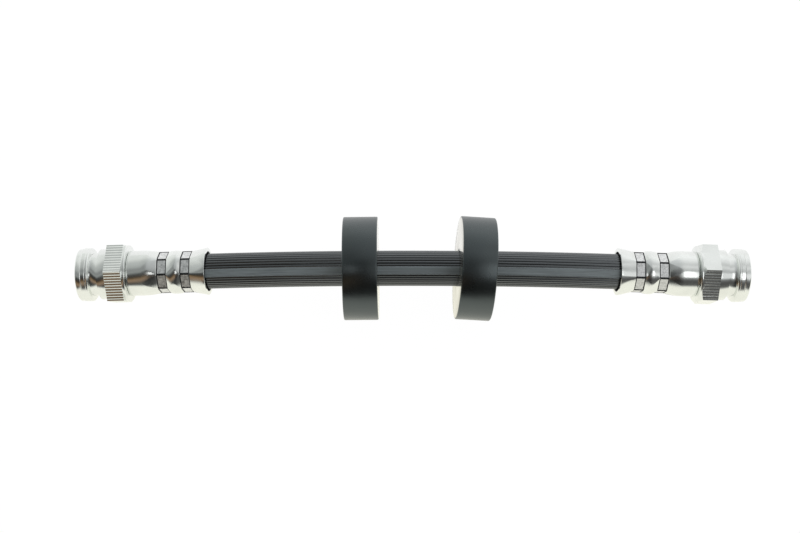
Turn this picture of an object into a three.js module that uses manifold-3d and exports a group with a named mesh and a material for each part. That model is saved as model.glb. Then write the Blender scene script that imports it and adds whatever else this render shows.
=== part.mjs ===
// Hydraulic brake hose: a reinforced rubber hose with a female threaded fitting crimped on
// each end, and two thick rubber rings round its middle that keep it off its surroundings.
// Millimetres, +Z up, +X along the hose. It lies on the plane z = 0 as it comes to rest: it
// stands on both rings, and its own set lets its ends droop almost to that plane.

import * as THREE from "three";
import { mergeVertices } from "three/addons/utils/BufferGeometryUtils.js";
import Module from "manifold-3d";

const wasm = await Module();
wasm.setup();

// Hose: its section, and its centre line as x and z in the plane y = 0. The line is straight
// inside both ferrules and bends evenly between them.
const HOSE_DIAMETER = 10.3;
const HOSE_BORE = 3.2;
const HOSE_SIDES = 12;
const HOSE_STEP = 20;
const HOSE_ROUTE = [
  [-79.6, 10.12],
  [-70, 11.1],
  [-60, 12.12],
  [-50, 13.05],
  [-40, 13.84],
  [-30, 14.47],
  [-20, 14.94],
  [-10, 15.24],
  [0, 15.37],
  [10, 15.34],
  [20, 15.14],
  [30, 14.77],
  [40, 14.24],
  [50, 13.54],
  [60, 12.67],
  [70, 11.71],
  [79.6, 10.8],
];

// Ferrule, a drawn steel cup round the hose's end, measured from its open mouth.
const FERRULE_LENGTH = 23.2;
const FERRULE_CLEARANCE = 0.55;
const FERRULE_WALL = 0.9;
const FERRULE_BASE = 1.8;
const FERRULE_CORNER = 0.7;
const LIP_SPREAD = 0.3;
const LIP_FLARE = 3;
const WAIST_PINCH = 0.45;
const BULGE_PINCH = 0.3;

// Crimp: two rows of flats, each pressed by a ring of jaws.
const JAW_COUNT = 8;
const JAW_WIDTH = 2.8;
const JAW_DRAFT = 0.2;
const CRIMP_DEPTH = 0.95;
const CRIMP_ROWS = [5.95, 12.85];

// End fitting's nipple, which the crimp holds in the hose's bore.
const PASSAGE_BORE = 2.4;
const NIPPLE_START = 2;
const NIPPLE_OVERSIZE = 0.5;
const BARB_HEIGHT = 0.35;
const BARB_COUNT = 4;
const BARB_PITCH = 3.9;
const BARB_RISE = 3.1;
const RETAINER_DIAMETER = 7.8;
const RETAINER_WIDTH = 0.9;
const STEM_DIAMETER = 6.2;

// End fitting's head, turned from hexagon bar: shoulder, hexagon, neck, clip groove, flange.
const SHOULDER_DIAMETER = 16.6;
const SHOULDER_WIDTH = 0.8;
const SHOULDER_EDGE = 0.3;
const HEX_ACROSS_FLATS = 16.4;
const HEX_WIDTH = 5;
const HEX_CHAMFER_ANGLE = 30;
const NECK_DIAMETER = 14.7;
const NECK_WIDTH = 2.2;
const CLIP_GROOVE_DIAMETER = 12.5;
const CLIP_GROOVE_WIDTH = 2.9;
const FLANGE_DIAMETER = 15.6;
const FLANGE_WIDTH = 3.8;
const FLANGE_EDGE = 0.3;
const NOSE_LENGTH = 1.5;
const NOSE_STEP = 0.15;
const NOSE_ROUNDING = 0.45;

// Serrations rolled into the hexagon's flats, which grip a bracket's hexagon hole.
const SERRATIONS_PER_FLAT = 11;
const SERRATION_DEPTH = 0.3;

// Port, tapped M10 x 1 for a brake pipe's nut; its bore is the tapping drill's.
const PORT_BORE = 9;
const PORT_DEPTH = 12;
const PORT_COUNTERSINK = 11.2;
const PORT_DRILL_POINT = 118;

// Rubber rings, placed along the hose from its middle.
const RING_DIAMETER = 30;
const RING_WIDTH = 10;
const RING_EDGE = 0.35;
const RING_CLEARANCE = 0.45;

// What differs between the two ends, angles in degrees. The hexagon and the crimp are turned
// about the hose from the top of its bend. A ring nods in the plane of the bend, and swings
// across it.
const SIDES = [
  {
    name: "left",
    hexTurn: -14.4,
    crimpTurn: -23.7,
    isSerrated: () => true,
    isChamfered: false,
    ringStation: -15,
    ringNod: -0.3,
    ringSwing: 0.5,
  },
  {
    name: "right",
    hexTurn: 10.1,
    crimpTurn: -12,
    isSerrated: (flat) => flat % 2 === 1,
    isChamfered: true,
    ringStation: 18.5,
    ringNod: -1.3,
    ringSwing: -2.1,
  },
];

// Gap between pieces that seat on each other.
const SEAT_GAP = 0.15;
const HOSE_GAP = 0.3;

const TURNED_SEGMENTS = 36;
const FERRULE_SEGMENTS = 32;
const RING_SEGMENTS = 48;
const CURVE_STEPS = 2;

const radians = THREE.MathUtils.degToRad;
const route = new THREE.CatmullRomCurve3(HOSE_ROUTE.map(([x, z]) => new THREE.Vector3(x, 0, z)));

const hoseRadius = HOSE_DIAMETER / 2;
const ferruleRadius = hoseRadius + FERRULE_CLEARANCE + FERRULE_WALL;
const crimpRadius = ferruleRadius - CRIMP_DEPTH;
const nippleRadius = (HOSE_BORE + NIPPLE_OVERSIZE) / 2;
const stemRadius = STEM_DIAMETER / 2;
const hexRadius = HEX_ACROSS_FLATS / 2;
const flangeRadius = FLANGE_DIAMETER / 2;

// Where each step of the fitting starts along it, measured outwards from the ferrule's mouth.
const retainerEnd = FERRULE_LENGTH - FERRULE_BASE - SEAT_GAP;
const retainerStart = retainerEnd - RETAINER_WIDTH;
const hoseEnd = retainerStart - HOSE_GAP;
const shoulderStart = FERRULE_LENGTH + SEAT_GAP;
const hexStart = shoulderStart + SHOULDER_WIDTH;
const neckStart = hexStart + HEX_WIDTH;
const grooveStart = neckStart + NECK_WIDTH;
const flangeStart = grooveStart + CLIP_GROOVE_WIDTH;
const noseStart = flangeStart + FLANGE_WIDTH - NOSE_LENGTH;
const fittingEnd = noseStart + NOSE_LENGTH;

const zincPlatedSteel = () =>
  new THREE.MeshStandardMaterial({ color: 0xb9bfbd, roughness: 0.28, metalness: 1, flatShading: true });
const rubber = (color) =>
  new THREE.MeshStandardMaterial({ color, roughness: 0.65, metalness: 0, flatShading: true });

function solidOf(geometry) {
  const bare = geometry.clone();
  bare.deleteAttribute("normal");
  bare.deleteAttribute("uv");
  const merged = mergeVertices(bare, 1e-4);
  return new wasm.Manifold(
    new wasm.Mesh({
      numProp: 3,
      vertProperties: merged.attributes.position.array,
      triVerts: new Uint32Array(merged.index.array),
    }),
  );
}

function meshOf(name, solid, material) {
  const { vertProperties, triVerts } = solid.getMesh();
  const geometry = new THREE.BufferGeometry();
  geometry.setAttribute("position", new THREE.BufferAttribute(vertProperties, 3));
  geometry.setIndex(new THREE.BufferAttribute(triVerts, 1));
  const mesh = new THREE.Mesh(geometry, material);
  mesh.name = name;
  return mesh;
}

// Turns an outline of radius and height round the Y axis.
const revolve = (outline, segments) => new THREE.LatheGeometry(outline.getPoints(CURVE_STEPS), segments);

// Continues an outline in straight lines through points of radius and height.
const lineThrough = (outline, points) => points.forEach(([radius, height]) => outline.lineTo(radius, height));

// Frame of a point on the hose: Y follows the given direction, Z faces the outside of the bend.
function frameAt(origin, along) {
  const across = new THREE.Vector3(0, -Math.sign(along.x), 0);
  const outward = new THREE.Vector3().crossVectors(across, along);
  return new THREE.Matrix4().makeBasis(across, along, outward).setPosition(origin);
}

// Frame of the ferrule's mouth at one end, facing out of the hose.
function mouthFrame(side) {
  const end = side.name === "left" ? 0 : 1;
  const outwards = route.getTangentAt(end).multiplyScalar(end ? 1 : -1);
  return frameAt(route.getPointAt(end).addScaledVector(outwards, -hoseEnd), outwards);
}

// Regular polygon with its first corner on the X axis.
function polygon(corners, radius) {
  return Array.from({ length: corners }, (_, i) => {
    const turn = (i * 2 * Math.PI) / corners;
    return new THREE.Vector2(radius * Math.cos(turn), radius * Math.sin(turn));
  });
}

// Points of the barbed nipple from its tip to the retaining collar, larger by a clearance.
function nippleOutline(clearance) {
  const points = [
    [0, NIPPLE_START - clearance],
    [nippleRadius + clearance, NIPPLE_START - clearance],
  ];
  for (let barb = 0; barb < BARB_COUNT; barb++) {
    const start = NIPPLE_START + barb * BARB_PITCH;
    points.push([nippleRadius + BARB_HEIGHT + clearance, start + BARB_RISE]);
    points.push([nippleRadius + clearance, start + BARB_PITCH]);
  }
  points.push([nippleRadius + clearance, retainerStart]);
  return points;
}

// Outside of the turned fitting, from the nipple's tip to the nose and back along the axis.
function fittingOutline() {
  const shoulder = SHOULDER_DIAMETER / 2;
  const neck = NECK_DIAMETER / 2;
  const groove = CLIP_GROOVE_DIAMETER / 2;
  const nose = flangeRadius - NOSE_STEP;
  const outline = new THREE.Path();
  outline.moveTo(0, NIPPLE_START);
  lineThrough(outline, nippleOutline(0).slice(1));
  lineThrough(outline, [
    [RETAINER_DIAMETER / 2, retainerStart],
    [RETAINER_DIAMETER / 2, retainerEnd],
    [stemRadius, retainerEnd],
    [stemRadius, shoulderStart],
    [shoulder - SHOULDER_EDGE, shoulderStart],
  ]);
  outline.quadraticCurveTo(shoulder, shoulderStart, shoulder, shoulderStart + SHOULDER_EDGE);
  lineThrough(outline, [
    [shoulder, hexStart],
    [neck, hexStart],
    [neck, grooveStart],
    [groove, grooveStart],
    [groove, flangeStart],
    [flangeRadius - FLANGE_EDGE, flangeStart],
    [flangeRadius, flangeStart + FLANGE_EDGE],
    [flangeRadius, noseStart],
    [nose, noseStart],
  ]);
  outline.quadraticCurveTo(nose, fittingEnd - NOSE_ROUNDING, nose - NOSE_ROUNDING, fittingEnd);
  outline.lineTo(0, fittingEnd);
  return outline;
}

// What is drilled out of the fitting: countersunk port, its conical bottom and the passage.
function drillingOutline() {
  const port = PORT_BORE / 2;
  const passage = PASSAGE_BORE / 2;
  const countersink = PORT_COUNTERSINK / 2;
  const portBottom = fittingEnd - PORT_DEPTH;
  const conePoint = portBottom - (port - passage) / Math.tan(radians(PORT_DRILL_POINT / 2));
  const overshoot = PORT_BORE;
  const outline = new THREE.Path();
  outline.moveTo(0, NIPPLE_START - overshoot);
  lineThrough(outline, [
    [passage, NIPPLE_START - overshoot],
    [passage, conePoint],
    [port, portBottom],
    [port, fittingEnd - (countersink - port)],
    [countersink + overshoot, fittingEnd + overshoot],
    [0, fittingEnd + overshoot],
  ]);
  return outline;
}

// Hexagon with a corner at the top; each serrated flat has a row of V grooves.
function hexagonShape(isSerrated) {
  const corners = polygon(6, hexRadius / Math.cos(Math.PI / 6));
  const shape = new THREE.Shape();
  corners.forEach((from, flat) => {
    const to = corners[(flat + 1) % corners.length];
    const inward = from.clone().add(to).normalize().negate();
    const teeth = isSerrated(flat) ? SERRATIONS_PER_FLAT : 0;
    if (flat === 0) shape.moveTo(from.x, from.y);
    else shape.lineTo(from.x, from.y);
    for (let tooth = 0; tooth < teeth; tooth++) {
      const root = from.clone().lerp(to, (tooth + 0.5) / teeth).addScaledVector(inward, SERRATION_DEPTH);
      shape.lineTo(root.x, root.y);
      if (tooth === teeth - 1) break;
      const crest = from.clone().lerp(to, (tooth + 1) / teeth);
      shape.lineTo(crest.x, crest.y);
    }
  });
  shape.closePath();
  return shape;
}

// Hexagon that a bracket holds against turning; its chamfer cuts the corners next to the hose.
function hexagon({ isSerrated, isChamfered }) {
  const prism = new THREE.ExtrudeGeometry(hexagonShape(isSerrated), { depth: HEX_WIDTH, bevelEnabled: false });
  prism.rotateX(-Math.PI / 2).rotateY(Math.PI / 2).translate(0, hexStart, 0);
  if (!isChamfered) return solidOf(prism);
  const reach = HEX_ACROSS_FLATS;
  const cone = new THREE.Path();
  cone.moveTo(0, hexStart);
  lineThrough(cone, [
    [hexRadius, hexStart],
    [reach, hexStart + (reach - hexRadius) * Math.tan(radians(HEX_CHAMFER_ANGLE))],
    [reach, grooveStart],
    [0, grooveStart],
  ]);
  return solidOf(prism).intersect(solidOf(revolve(cone, TURNED_SEGMENTS)));
}

function endFitting(side) {
  const turned = solidOf(revolve(fittingOutline(), TURNED_SEGMENTS));
  const drilling = solidOf(revolve(drillingOutline(), TURNED_SEGMENTS));
  const solid = turned.add(hexagon(side)).subtract(drilling);
  const mesh = meshOf(`${side.name}_end_fitting`, solid, zincPlatedSteel());
  mesh.rotation.y = radians(side.hexTurn);
  return mesh;
}

// Skin of the ferrule, taken in by inset and closed at base; each crimp row pulls in a waist.
function ferruleOutline(inset, base) {
  const full = ferruleRadius - inset;
  const lip = full + LIP_SPREAD;
  const waist = full - WAIST_PINCH;
  const bulge = full - BULGE_PINCH;
  const corner = Math.max(FERRULE_CORNER - inset, SEAT_GAP);
  const [mouthRow, baseRow] = CRIMP_ROWS;
  const outline = new THREE.Path();
  outline.moveTo(0, 0);
  outline.lineTo(lip, 0);
  outline.quadraticCurveTo(waist, 0, waist, LIP_FLARE);
  outline.lineTo(waist, mouthRow + JAW_WIDTH / 2);
  outline.splineThru([
    new THREE.Vector2(bulge, (mouthRow + baseRow) / 2),
    new THREE.Vector2(waist, baseRow - JAW_WIDTH / 2),
  ]);
  outline.lineTo(waist, baseRow + JAW_WIDTH / 2);
  outline.quadraticCurveTo(full, baseRow + JAW_WIDTH, full, baseRow + 2 * JAW_WIDTH);
  outline.lineTo(full, base - corner);
  outline.quadraticCurveTo(full, base, full - corner, base);
  outline.lineTo(0, base);
  return outline;
}

// Ring of jaws that presses one row of flats; each jaw narrows by its draft towards its tip.
function jawRing(row, inset, width) {
  const tip = (crimpRadius - inset) / Math.cos(Math.PI / JAW_COUNT);
  const back = 2 * ferruleRadius;
  const draft = (JAW_DRAFT * (back - tip)) / CRIMP_DEPTH;
  const outline = new THREE.Path();
  outline.moveTo(tip, row - width / 2);
  lineThrough(outline, [
    [back, row - width / 2 - draft],
    [back, row + width / 2 + draft],
    [tip, row + width / 2],
    [tip, row - width / 2],
  ]);
  return revolve(outline, JAW_COUNT);
}

// All jaws, as they press a skin that lies deeper than the ferrule's by inset.
const jaws = (inset) => CRIMP_ROWS.map((row) => jawRing(row, inset, JAW_WIDTH + 2 * inset));

function crimpedSkin(inset, base) {
  const skin = solidOf(revolve(ferruleOutline(inset, base), FERRULE_SEGMENTS));
  return jaws(inset).reduce((pressed, jaw) => pressed.subtract(solidOf(jaw)), skin);
}

// Drawn cup: its outside less its inside, with a hole in its base for the fitting's stem.
function ferrule(side) {
  const holeRadius = stemRadius + SEAT_GAP;
  const hole = new THREE.CylinderGeometry(holeRadius, holeRadius, FERRULE_LENGTH, FERRULE_SEGMENTS);
  const cup = crimpedSkin(0, FERRULE_LENGTH)
    .subtract(crimpedSkin(FERRULE_WALL, FERRULE_LENGTH - FERRULE_BASE))
    .subtract(solidOf(hole.translate(0, FERRULE_LENGTH, 0)));
  const mesh = meshOf(`${side.name}_ferrule`, cup, zincPlatedSteel());
  mesh.rotation.y = radians(side.crimpTurn);
  return mesh;
}

// Fitting and ferrule of one end, measured outwards from the ferrule's mouth.
function hoseEndGroup(side) {
  const end = new THREE.Group();
  end.add(endFitting(side), ferrule(side));
  end.applyMatrix4(mouthFrame(side));
  return end;
}

// The hose, with its ends as the crimp leaves them: spread over the nipple, pressed by the jaws.
function hose() {
  const section = new THREE.Shape(polygon(HOSE_SIDES, hoseRadius));
  section.holes.push(new THREE.Path(polygon(HOSE_SIDES, HOSE_BORE / 2)));
  const steps = Math.round(route.getLength() / HOSE_STEP);
  const tube = new THREE.ExtrudeGeometry(section, { extrudePath: route, steps, bevelEnabled: false });
  const spread = new THREE.Path();
  spread.moveTo(0, NIPPLE_START);
  lineThrough(spread, [...nippleOutline(HOSE_GAP), [0, retainerStart]]);
  let solid = solidOf(tube);
  for (const side of SIDES) {
    const frame = mouthFrame(side);
    const crimpTurn = radians(side.crimpTurn);
    for (const jaw of jaws(FERRULE_WALL + HOSE_GAP)) {
      solid = solid.subtract(solidOf(jaw.rotateY(crimpTurn).applyMatrix4(frame)));
    }
    solid = solid.subtract(solidOf(revolve(spread, HOSE_SIDES).applyMatrix4(frame)));
  }
  return meshOf("hose", solid, rubber(0x3a3b40));
}

// Rubber ring on the hose, with one of its facets underneath.
function rubberRing(side) {
  const bore = hoseRadius + RING_CLEARANCE;
  const rim = RING_DIAMETER / 2;
  const face = RING_WIDTH / 2;
  const outline = new THREE.Path();
  outline.moveTo(bore, -face);
  lineThrough(outline, [
    [rim - RING_EDGE, -face],
    [rim, -face + RING_EDGE],
    [rim, face - RING_EDGE],
    [rim - RING_EDGE, face],
    [bore, face],
    [bore, -face],
  ]);
  const turned = revolve(outline, RING_SEGMENTS).rotateY(Math.PI / RING_SEGMENTS);
  const ring = meshOf(`${side.name}_rubber_ring`, solidOf(turned), rubber(0x33383b));
  const share = 0.5 + side.ringStation / route.getLength();
  ring.applyMatrix4(frameAt(route.getPointAt(share), route.getTangentAt(share)));
  ring.rotateX(radians(side.ringNod));
  ring.rotateZ(radians(side.ringSwing));
  return ring;
}

const part = new THREE.Group();
part.add(hose(), ...SIDES.map(hoseEndGroup), ...SIDES.map(rubberRing));

// Stands the part on the plane z = 0.
part.position.z = -new THREE.Box3().setFromObject(part, true).min.z;
part.updateMatrixWorld(true);

export default part;
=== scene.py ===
"""Dresses the packed brake hose: ribbed rubber hose, crimped steel ends and rubber rings.

The packed CAD parts are the frame. Every piece is built in metres where its CAD part is.
"""

import math

import bpy
from mathutils import Matrix, Vector


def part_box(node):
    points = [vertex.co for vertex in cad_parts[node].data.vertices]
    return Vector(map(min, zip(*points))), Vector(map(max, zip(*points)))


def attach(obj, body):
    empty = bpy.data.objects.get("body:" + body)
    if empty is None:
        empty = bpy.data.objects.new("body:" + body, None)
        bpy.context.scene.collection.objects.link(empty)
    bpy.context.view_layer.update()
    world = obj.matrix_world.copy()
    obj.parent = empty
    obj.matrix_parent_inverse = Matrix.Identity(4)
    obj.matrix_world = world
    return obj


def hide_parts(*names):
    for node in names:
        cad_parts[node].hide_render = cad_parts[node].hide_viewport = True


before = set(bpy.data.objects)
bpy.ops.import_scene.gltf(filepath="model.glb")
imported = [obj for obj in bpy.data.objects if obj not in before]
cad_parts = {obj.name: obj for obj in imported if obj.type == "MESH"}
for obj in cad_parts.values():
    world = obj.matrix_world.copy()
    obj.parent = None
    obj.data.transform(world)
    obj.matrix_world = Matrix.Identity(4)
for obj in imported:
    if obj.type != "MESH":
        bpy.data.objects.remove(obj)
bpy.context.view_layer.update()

bl_info = {
    "name": "Brake hose",
    "version": (1, 0, 0),
    "blender": (4, 5, 0),
    "location": "View3D > Sidebar > Brake hose",
    "description": "Builds a brake hose with crimped end fittings and two rubber rings",
    "category": "Add Mesh",
}

MM = 0.001
BODY = "root"

# The hose's centre line in the plane y = 0, as x and z in metres.
HOSE_ROUTE = [
    (-0.0796, 0.01012),
    (-0.07, 0.0111),
    (-0.06, 0.01212),
    (-0.05, 0.01305),
    (-0.04, 0.01384),
    (-0.03, 0.01447),
    (-0.02, 0.01494),
    (-0.01, 0.01524),
    (0.0, 0.01537),
    (0.01, 0.01534),
    (0.02, 0.01514),
    (0.03, 0.01477),
    (0.04, 0.01424),
    (0.05, 0.01354),
    (0.06, 0.01267),
    (0.07, 0.01171),
    (0.0796, 0.0108),
]

# Each end of the hose, in metres: its ferrule's mouth, the tip of its fitting, the station and
# width of its hexagon and the depth of the hexagon's teeth. The turns of the hexagon and of the
# crimp about the hose are in degrees from the top.
ENDS = {
    "left": {
        "mouth": (-0.059654, 0.0, 0.012153),
        "tip": (-0.097507, 0.0, 0.008288),
        "hex_turn": -14.4,
        "crimp_turn": -23.7,
        "serrated_flats": (0, 1, 2, 3, 4, 5),
        "hex_start": 0.02415,
        "hex_width": 0.005,
        "tooth_depth": 0.00007,
        "tooth_sharpness": 1.3,
        "chamfered": False,
    },
    "right": {
        "mouth": (0.059639, 0.0, 0.012688),
        "tip": (0.09752, 0.0, 0.009098),
        "hex_turn": 10.1,
        "crimp_turn": -12.0,
        "serrated_flats": (0, 2, 4),
        "hex_start": 0.02365,
        "hex_width": 0.0052,
        "tooth_depth": 0.00004,
        "tooth_sharpness": 4.0,
        "chamfered": True,
    },
}

# How each ring leans on the hose, in degrees, in the plane of the bend and across it, and how
# far it sits from its CAD part, in metres.
RING_LEAN = {
    "left": {"nod": -0.9, "swing": 0.5, "shift": (0.0, 0.0, 0.0)},
    "right": {"nod": -2.7, "swing": -2.1, "shift": (-0.0004, 0.0, 0.0001)},
}


def size(name, description, millimetres):
    """A length that the user may change, given in millimetres and kept in metres."""
    return bpy.props.FloatProperty(
        name=name,
        description=description,
        default=millimetres * MM,
        min=0.0,
        precision=5,
        subtype="DISTANCE",
        unit="LENGTH",
    )


def number(name, description, default, **limits):
    """A plain number."""
    return bpy.props.FloatProperty(
        name=name, description=description, default=default, precision=5, **limits
    )


def angle(name, description, degrees):
    """An angle that the user may change, given in degrees."""
    return bpy.props.FloatProperty(
        name=name,
        description=description,
        default=math.radians(degrees),
        subtype="ANGLE",
        unit="ROTATION",
    )


def count(name, description, default):
    """A whole number."""
    return bpy.props.IntProperty(name=name, description=description, default=default, min=1)


def colour(name, description, default):
    """A linear colour without alpha."""
    return bpy.props.FloatVectorProperty(
        name=name,
        description=description,
        default=default,
        size=3,
        min=0.0,
        max=1.0,
        subtype="COLOR",
    )


class HoseSizes(bpy.types.PropertyGroup):
    """Sizes of the rubber hose."""

    diameter: size("Diameter", "Outside diameter over the ribs", 10.3)
    bore: size("Bore", "Inside diameter", 3.2)
    spread_bore: size("Spread bore", "Inside diameter where the nipple spreads it", 4.9)
    spread_length: size("Spread length", "Length of the spread bore at each end", 18.6)
    cut_length: size("Cut length", "Length of the hose before it is fitted", 160.0)
    rib_count: count("Ribs", "Lengthwise ribs round the hose", 34)
    rib_depth: size("Rib depth", "Depth of the grooves between the ribs", 0.24)
    strip_width: size("Strip width", "Width of the plain strip along the hose", 2.35)
    strip_turn: angle("Strip turn", "Turn of the plain strip from the top towards the front", 25.0)
    steps: count("Steps", "Steps along the hose", 160)
    # The dark band of hose at each mouth is painted shade.
    mouth_shade_length: size("Neck length", "Length of dull rubber at each ferrule's mouth", 0.1)


class FerruleSizes(bpy.types.PropertyGroup):
    """Sizes of the crimped steel ferrules, measured from the mouth."""

    length: size("Length", "Length of the ferrule", 23.2)
    outside: size("Outside", "Radius of the barrel", 6.6)
    inside: size("Inside", "Radius of the inside", 5.3)
    base: size("Base", "Thickness of the base", 1.8)
    corner: size("Corner", "Rounding of the corner at the base", 0.4)
    lip: size("Lip", "Radius of the flared lip at the mouth", 6.9)
    lip_length: size("Lip length", "Length over which the lip flares", 4.4)
    mouth: size("Mouth", "Radius of the opening at the mouth", 5.85)
    hole: size("Hole", "Radius of the hole for the fitting's stem", 3.25)
    waist: size("Waist", "Radius beside the rows of flats", 6.05)
    bulge: size("Bulge", "Radius between the rows of flats", 6.32)
    swell_length: size("Swell length", "Length from the crimp to the full barrel", 4.7)
    mouth_row: size("Mouth row", "Place of the row of flats nearer the mouth", 5.95)
    base_row: size("Base row", "Place of the row of flats nearer the base", 12.85)
    jaw_count: count("Jaws", "Flats in each row", 8)
    jaw_width: size("Jaw width", "Width of a flat along the ferrule", 2.8)
    jaw_ridge: size("Ridge", "Width of the ridge left between two flats", 0.2)
    jaw_draft: size("Draft", "Narrowing of a jaw over the depth of its flat", 0.4)
    flat_height: size("Flat height", "Distance of the flats from the axis", 5.55)
    # The dark edge round each flat is painted shade.
    painted_shade_edge: size("Flat edge", "Width of the dark edge round a flat", 0.25)
    dish_height: size("Dish height", "Height of the drawn-in surface beside a flat", 5.68)


class FittingSizes(bpy.types.PropertyGroup):
    """Sizes of the turned end fittings. Stations are measured from the ferrule's mouth."""

    nipple_start: size("Nipple start", "Station of the nipple's tip", 2.0)
    nipple: size("Nipple", "Radius of the nipple", 1.85)
    barb_height: size("Barb height", "Height of a barb", 0.35)
    barb_count: count("Barbs", "Barbs on the nipple", 4)
    barb_pitch: size("Barb pitch", "Distance between barbs", 3.9)
    barb_rise: size("Barb rise", "Length of a barb's slope", 3.1)
    retainer: size("Retainer", "Radius of the collar inside the ferrule", 3.9)
    retainer_start: size("Retainer start", "Station of that collar", 20.35)
    retainer_end: size("Retainer end", "Station of that collar's end", 21.25)
    stem: size("Stem", "Radius of the stem in the ferrule's base", 3.1)
    shoulder: size("Shoulder", "Radius of the shoulder", 8.3)
    shoulder_start: size("Shoulder start", "Station of the shoulder", 23.23)
    shoulder_edge: size("Shoulder edge", "Rounding of the shoulder's edge", 0.3)
    shoulder_end: size("Shoulder end", "Station of the shoulder's end, inside the hexagon", 24.17)
    hex_apothem: size("Hexagon", "Distance of the flats from the axis", 8.2)
    chamfer_angle: angle("Chamfer", "Angle of the hexagon's chamfer", 30.0)
    neck: size("Neck", "Radius of the neck", 7.35)
    groove_start: size("Groove start", "Station of the clip groove", 31.8)
    groove: size("Groove", "Radius in the clip groove", 6.25)
    flange_start: size("Flange start", "Station of the flange", 34.25)
    flange: size("Flange", "Radius of the flange", 7.8)
    flange_edge: size("Flange edge", "Chamfer of the flange's edge", 0.3)
    nose_start: size("Nose start", "Station of the step at the nose", 36.55)
    nose_step: size("Nose step", "Step down to the nose", 0.15)
    nose_rounding: size("Nose rounding", "Rounding of the nose", 0.45)
    end: size("End", "Station of the fitting's tip", 38.05)
    tooth_count: count("Teeth", "Grooves in each serrated flat", 11)
    turned_line: size("Turned line", "Width of the fine grooves turned in the head", 0.26)
    turned_depth: size("Turned depth", "Depth of those fine grooves", 0.07)
    passage: size("Passage", "Radius of the passage", 1.2)
    port_depth: size("Port depth", "Depth of the port's full bore", 12.0)
    port_root: size("Thread root", "Radius at the root of the port's thread", 5.0)
    port_crest: size("Thread crest", "Radius at the crest of the port's thread", 4.5)
    thread_pitch: size("Thread pitch", "Pitch of the port's thread", 1.0)
    thread_turns: count("Thread turns", "Turns of the port's thread", 9)
    drill_angle: angle("Drill point", "Half the angle of the drill's point", 59.0)


class RingSizes(bpy.types.PropertyGroup):
    """Sizes of the rubber rings."""

    outside: size("Outside", "Radius of the ring", 15.0)
    bore: size("Bore", "Radius of the ring's bore", 5.2)
    width: size("Width", "Width of the ring", 10.0)
    edge: size("Edge", "Rounding of the ring's edges", 0.35)


class Finishes(bpy.types.PropertyGroup):
    """Colours of the finishes."""

    hose_rubber: colour("Hose rubber", "Colour of the hose", (0.0018, 0.0017, 0.002))
    # The strip's grey is a painted reflection: the smooth strip's mirror brightness given as base
    # colour.
    strip: colour("Strip", "Colour of the smooth strip along the hose", (0.28, 0.325, 0.345))
    ring_rubber: colour("Ring rubber", "Colour of the rings", (0.0014, 0.0016, 0.0018))
    zinc: colour("Zinc", "Colour of the plated steel", (0.82, 0.84, 0.82))
    pressed_zinc: colour("Pressed zinc", "Colour of the steel under the jaws", (0.8, 0.81, 0.81))
    # The wall zinc is painted shade: a dark colour standing in for the shade in the crimp's walls,
    # round its flats and inside the ferrule.
    wall_zinc: colour("Wall zinc", "Colour of the pressed flats' walls", (0.045, 0.047, 0.05))
    floor: colour("Floor", "Colour of the floor", (0.9, 0.9, 0.89))


class StageSizes(bpy.types.PropertyGroup):
    """Camera, lights and floor."""

    lens: number("Lens", "Focal length in millimetres", 75.0, min=1.0)
    elevation: angle("Elevation", "Height of the camera above the horizon", 72.0)
    distance: size("Distance", "Distance of the camera from the hose", 484.5)
    roll: angle("Roll", "Turn of the camera about its own axis", -0.14)
    aim_x: number("Aim X", "Where the camera looks, along the hose", -0.0037)
    aim_y: number("Aim Y", "Where the camera looks, across the hose", 0.00053)
    aim_z: number("Aim Z", "Where the camera looks, above the floor", 0.0154)
    floor_size: size("Floor size", "Side of the floor", 4000.0)
    lamp_tilt: angle("Lamp tilt", "Angle of the lamp from straight up towards the front", 21.5)
    lamp_swing: angle("Lamp swing", "Angle of the lamp towards the right end", 24.0)
    lamp_distance: size("Lamp distance", "Distance of the lamp from the hose", 1200.0)
    lamp_width: size("Lamp width", "Width of the lamp", 180.0)
    lamp_height: size("Lamp height", "Height of the lamp", 560.0)
    lamp_radiance: number("Lamp radiance", "Brightness of the lamp's face", 1.05, min=0.0)
    spot_tilt: angle("Spot tilt", "Angle of the small lamp from straight up to the front", 19.0)
    spot_x: number("Spot X", "Place of the small lamp along the hose", -0.09)
    spot_distance: size("Spot distance", "Distance of the small lamp from the hose", 450.0)
    spot_width: size("Spot width", "Width of the small lamp", 46.0)
    spot_height: size("Spot height", "Height of the small lamp", 110.0)
    spot_radiance: number("Spot radiance", "Brightness of the small lamp's face", 1.2, min=0.0)


SETTINGS = {
    "hose_sizes": HoseSizes,
    "hose_ferrule_sizes": FerruleSizes,
    "hose_fitting_sizes": FittingSizes,
    "hose_ring_sizes": RingSizes,
    "hose_finishes": Finishes,
    "hose_stage_sizes": StageSizes,
}


# Modelling helpers

SELECT_MODES = {"vertices": "VERT", "edges": "EDGE", "polygons": "FACE"}
MERGE_DISTANCE = 0.001 * MM
NEARLY = 0.01 * MM


def clear_selection():
    """Leaves edit mode and selects nothing."""
    if bpy.context.mode != "OBJECT":
        bpy.ops.object.mode_set(mode="OBJECT")
    bpy.ops.object.select_all(action="DESELECT")


def pick(piece):
    """Selects one object alone and makes it active."""
    clear_selection()
    piece.select_set(True)
    bpy.context.view_layer.objects.active = piece
    return piece


def start_line(name, point):
    """A mesh with one selected vertex at a point, in edit mode."""
    clear_selection()
    bpy.ops.mesh.primitive_plane_add(size=MM)
    piece = bpy.context.object
    piece.name = piece.data.name = name
    bpy.ops.object.mode_set(mode="EDIT")
    bpy.ops.mesh.select_mode(type="VERT")
    bpy.ops.mesh.select_all(action="SELECT")
    bpy.ops.mesh.merge(type="CENTER")
    bpy.ops.transform.translate(value=point)
    return piece


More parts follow.
